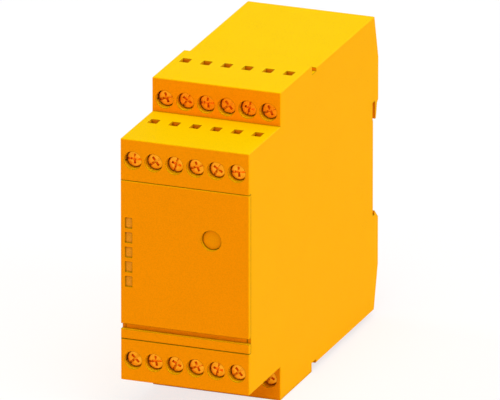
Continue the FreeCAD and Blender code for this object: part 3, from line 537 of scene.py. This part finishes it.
# %% Hand out the finishes
FINISHES = {
    "casing": casing, "button_cap": button_plastic, "lens": window,
    "insulator": block, "screw_steel": screw, "cage_steel": cage,
    "contact_metal": contact, "circuit_board": board, "relay_case": relay_case,
    "potting": potting, "can_sleeve": sleeve, "component_body": component,
    "varistor_coat": varistor_coat, "led_body": lamp_body,
    "spring_steel": spring, "slider_plastic": slider_plastic,
}
for solid in nodes.values():
    for slot in solid.material_slots:
        slot.material = FINISHES[slot.material.name.split(".")[0]]
print("dressed", len(nodes), "solids in", len(FINISHES), "finishes")

# %% [markdown]
# ## The three springs: drawn wire, wound with closed ends
# A small coil behind the button and two longer ones above the rail slider push them
# back. The wire follows a helix whose turns lie close at both ends, as a spring with
# closed ends has. A curve with a bevel could make it, but only a mesh can shorten with
# a joint, so the rings round the wire are computed and joined up here.

# %% Wind a wire
SIDES, STEPS_PER_TURN = 10, 28    # facets round the wire, and along one turn
CLOSED_ENDS = 0.8             # 0 winds evenly, 1 lays the last turns flat
END_PLAY = 0.02 * MM          # air between a spring and what it pushes on


def wind_wire(name, low, high, axis, wire, turns):
    """The mesh of a coil that fills the box from low to high, along one of its axes."""
    first, second = [i for i in range(3) if i != axis]
    middle = (low + high) / 2
    radius = (high[first] - low[first] - wire) / 2
    start = low[axis] + END_PLAY + wire / 2
    rise = high[axis] - low[axis] - 2 * END_PLAY - wire
    steps = int(turns * STEPS_PER_TURN)
    points, faces = [], []
    for step in range(steps + 1):
        t = step / steps
        eased = t - CLOSED_ENDS * math.sin(2 * math.pi * t) / (2 * math.pi)
        turned = 2 * math.pi * turns * t
        for side in range(SIDES):
            around = 2 * math.pi * side / SIDES
            out = radius + wire / 2 * math.cos(around)
            point = Vector((0, 0, 0))
            point[first] = middle[first] + out * math.cos(turned)
            point[second] = middle[second] + out * math.sin(turned)
            point[axis] = start + rise * eased + wire / 2 * math.sin(around)
            points.append(point)
    for ring in range(steps):
        for side in range(SIDES):
            beside = (side + 1) % SIDES
            faces.append((ring * SIDES + side, ring * SIDES + beside,
                          (ring + 1) * SIDES + beside, (ring + 1) * SIDES + side))
    faces.append(tuple(range(SIDES)))
    faces.append(tuple(steps * SIDES + side for side in range(SIDES)))
    mesh = bpy.data.meshes.new(name)
    mesh.from_pydata(points, [], faces)
    coil = bmesh.new()
    coil.from_mesh(mesh)
    bmesh.ops.recalc_face_normals(coil, faces=coil.faces)
    for face in coil.faces:
        face.smooth = len(face.verts) == 4
    coil.to_mesh(mesh)
    coil.free()
    mesh.materials.append(spring)
    return mesh


print("one turn of wire takes", SIDES * STEPS_PER_TURN, "faces")

# %% [markdown]
# ## Springs in place of the CAD solids
# A stiff coil would stab through its neighbours when they move. Each coil takes the
# place of its plain CAD solid and rides on the casing.


def wound_spring(name, node, axis, wire, turns):
    """A coil in the box of a CAD spring, wound along the axis, in place of that solid."""
    low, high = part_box(node)
    piece = bpy.data.objects.new(name, wind_wire(name, low, high, axis, wire, turns))
    bpy.context.scene.collection.objects.link(piece)
    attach(piece, "casing")
    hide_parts(node)
    along = Vector((0, 0, 0))
    along[axis] = 1
    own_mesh(piece)


Y, Z = 1, 2                   # the button moves along y, the slider along z
BUTTON_WIRE, SLIDER_WIRE = 0.3 * MM, 0.5 * MM
wound_spring("button_coil", "button_spring", Y, BUTTON_WIRE, 2.5)
for side in ("left", "right"):
    wound_spring("slider_coil_" + side, "slider_spring_" + side, Z, SLIDER_WIRE, 5)

# %% [markdown]
# ## The table it stands on
# The relay stands on a plain pale sheet that runs far past every view. A sheet that
# counts as white only for the eye keeps the bounced light calm: Light Path tells rays
# from the camera, a mirror or a glass apart from the rays that light the object. The
# sheet is clear from below, so that the relay's underside can be looked at too.

# %% Floor
FLOOR_SIZE = 8.0              # metres
FLOOR_GAP_MM = 0.02           # under the relay's lowest face
WHITENING = 0.70              # how much of the sheet reads as plain white to the eye
PAPER_FIBRE_MM = 2.0          # drawn coarser than paper's own fibres, which are too fine
floor_mesh = bpy.data.meshes.new("floor")
half = FLOOR_SIZE / 2
floor_z = cad_low.z - FLOOR_GAP_MM * MM
corners = [(x, y, floor_z) for x, y in ((-half, -half), (half, -half),
                                        (half, half), (-half, half))]
floor_mesh.from_pydata(corners, [], [(0, 1, 2, 3)])
floor = bpy.data.objects.new("floor", floor_mesh)
bpy.context.scene.collection.objects.link(floor)
floor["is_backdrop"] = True


def seen_directly(tree):
    """1 for rays from the camera, a mirror or a glass, and 0 for rays that only light."""
    path = add_node(tree, "ShaderNodeLightPath")
    mirrored = add_node(tree, "ShaderNodeMath",
                        {0: path.outputs["Is Camera Ray"],
                         1: path.outputs["Is Glossy Ray"]}, operation="MAXIMUM")
    return add_node(tree, "ShaderNodeMath",
                    {0: mirrored.outputs[0], 1: path.outputs["Is Transmission Ray"]},
                    operation="MAXIMUM").outputs[0]


paper, tree, shader, place = begin("matt_paper_white")
fibre = add_node(tree, "ShaderNodeTexNoise",
                 {"Vector": place, "Scale": per_metre(PAPER_FIBRE_MM), "Detail": 3.0})
tint = add_node(tree, "ShaderNodeMix",
                {0: seen_directly(tree), MIX_A: linear("#E6E6E4"),
                 MIX_B: linear("#FFFFFF")}, data_type="RGBA")
fibre_relief = add_node(tree, "ShaderNodeBump",
                        {"Height": fibre.outputs["Fac"], "Distance": 0.01 * MM,
                         "Strength": 0.2})
fill(tree, shader, {
    "Base Color": tint.outputs[MIX_OUT],
    "Normal": fibre_relief.outputs["Normal"],
    "Roughness": 0.9,
    "Specular IOR Level": 0.0,
})
white = add_node(tree, "ShaderNodeEmission", {"Color": linear("#FFFFFF")})
whitened = add_node(tree, "ShaderNodeMath",
                    {0: seen_directly(tree), 1: WHITENING}, operation="MULTIPLY")
surface = add_node(tree, "ShaderNodeMixShader",
                   {0: whitened.outputs[0], 1: shader.outputs[0], 2: white.outputs[0]})
underside = add_node(tree, "ShaderNodeNewGeometry").outputs["Backfacing"]
gone = add_node(tree, "ShaderNodeBsdfTransparent")
both = add_node(tree, "ShaderNodeMixShader",
                {0: underside, 1: surface.outputs[0], 2: gone.outputs[0]})
tree.links.new(both.outputs[0], tree.nodes["Material Output"].inputs["Surface"])
floor_mesh.materials.append(paper)
print("floor at", round(floor_z / MM, 2), "mm")

# %% [markdown]
# ## Soft light from all round
# A product is lit so that its colours look as they are written. An even grey world
# gives the base level, a wide softbox above is the key, and four far ones that stand
# clear of the table open the sides, so that it reads from all round. For a small
# matt surface that faces a softbox, watts of pi squared times distance squared give
# a level of one, so each lamp can be written as the level that it adds.

# %% Lamps and world
AMBIENT = 0.50
centre = (cad_low + cad_high) / 2


def softbox(name, direction, level, distance, width=1.6):
    """A square lamp that adds this level to a surface that faces it."""
    data = bpy.data.lights.new(name, "AREA")
    data.shape, data.size = "SQUARE", width
    data.energy = level * (math.pi * distance) ** 2
    lamp = bpy.data.objects.new(name, data)
    towards = Vector(direction).normalized()
    lamp.location = centre + towards * distance
    lamp.rotation_mode = "QUATERNION"
    lamp.rotation_quaternion = towards.to_track_quat("Z", "Y")
    bpy.context.scene.collection.objects.link(lamp)
    return lamp


key = softbox("key_above", (0.15, -0.25, 0.95), level=0.41, distance=2.5)
right = softbox("fill_right", (0.95, -0.10, 0.20), level=0.36, distance=5.0)
front = softbox("fill_front", (-0.20, -0.95, 0.20), level=0.14, distance=5.0)
left = softbox("fill_left", (-0.95, 0.10, 0.20), level=0.36, distance=5.0)
behind = softbox("fill_behind", (0.10, 0.95, 0.20), level=0.24, distance=5.0)
for lamp in (key, right, front, left, behind):
    print(lamp.name, round(lamp.data.energy, 1), "W")

world = bpy.data.worlds.new("even_studio")
world.use_nodes = True
bpy.context.scene.world = world
sky = world.node_tree
backdrop = sky.nodes["Background"]
backdrop.inputs["Color"].default_value = linear("#FFFFFF")
brightness = add_node(sky, "ShaderNodeMapRange",
                      {"Value": seen_directly(sky), "To Min": AMBIENT, "To Max": 1.0})
sky.links.new(brightness.outputs["Result"], backdrop.inputs["Strength"])
print("world level", AMBIENT)

# %% [markdown]
# ## The camera
# The view is from the front right and a little above, through a very long lens far
# away, which keeps the box's parallel edges parallel as in a product drawing.

# %% Camera
AZIMUTH, ELEVATION = math.radians(20.75), math.radians(19.58)
LENS_MM, SENSOR_MM = 1350.0, 36.0
FIELD_WIDTH = 164.8 * MM      # what the view takes in, side to side
AIM = centre + Vector((-0.18, 0.06, 3.14)) * MM
camera_data = bpy.data.cameras.new("camera")
camera_data.lens, camera_data.sensor_width = LENS_MM, SENSOR_MM
camera_data.clip_start, camera_data.clip_end = 0.1, 50.0
camera = bpy.data.objects.new("camera", camera_data)
bpy.context.scene.collection.objects.link(camera)
back = Vector((math.sin(AZIMUTH) * math.cos(ELEVATION),
               -math.cos(AZIMUTH) * math.cos(ELEVATION), math.sin(ELEVATION)))
camera.location = AIM + back * (FIELD_WIDTH * LENS_MM / SENSOR_MM)
camera.rotation_mode = "QUATERNION"
camera.rotation_quaternion = (-back).to_track_quat("-Z", "Y")
bpy.context.scene.camera = camera
bpy.context.scene.view_settings.view_transform = "Standard"
print("camera stands", round((camera.location - AIM).length, 2), "m away")
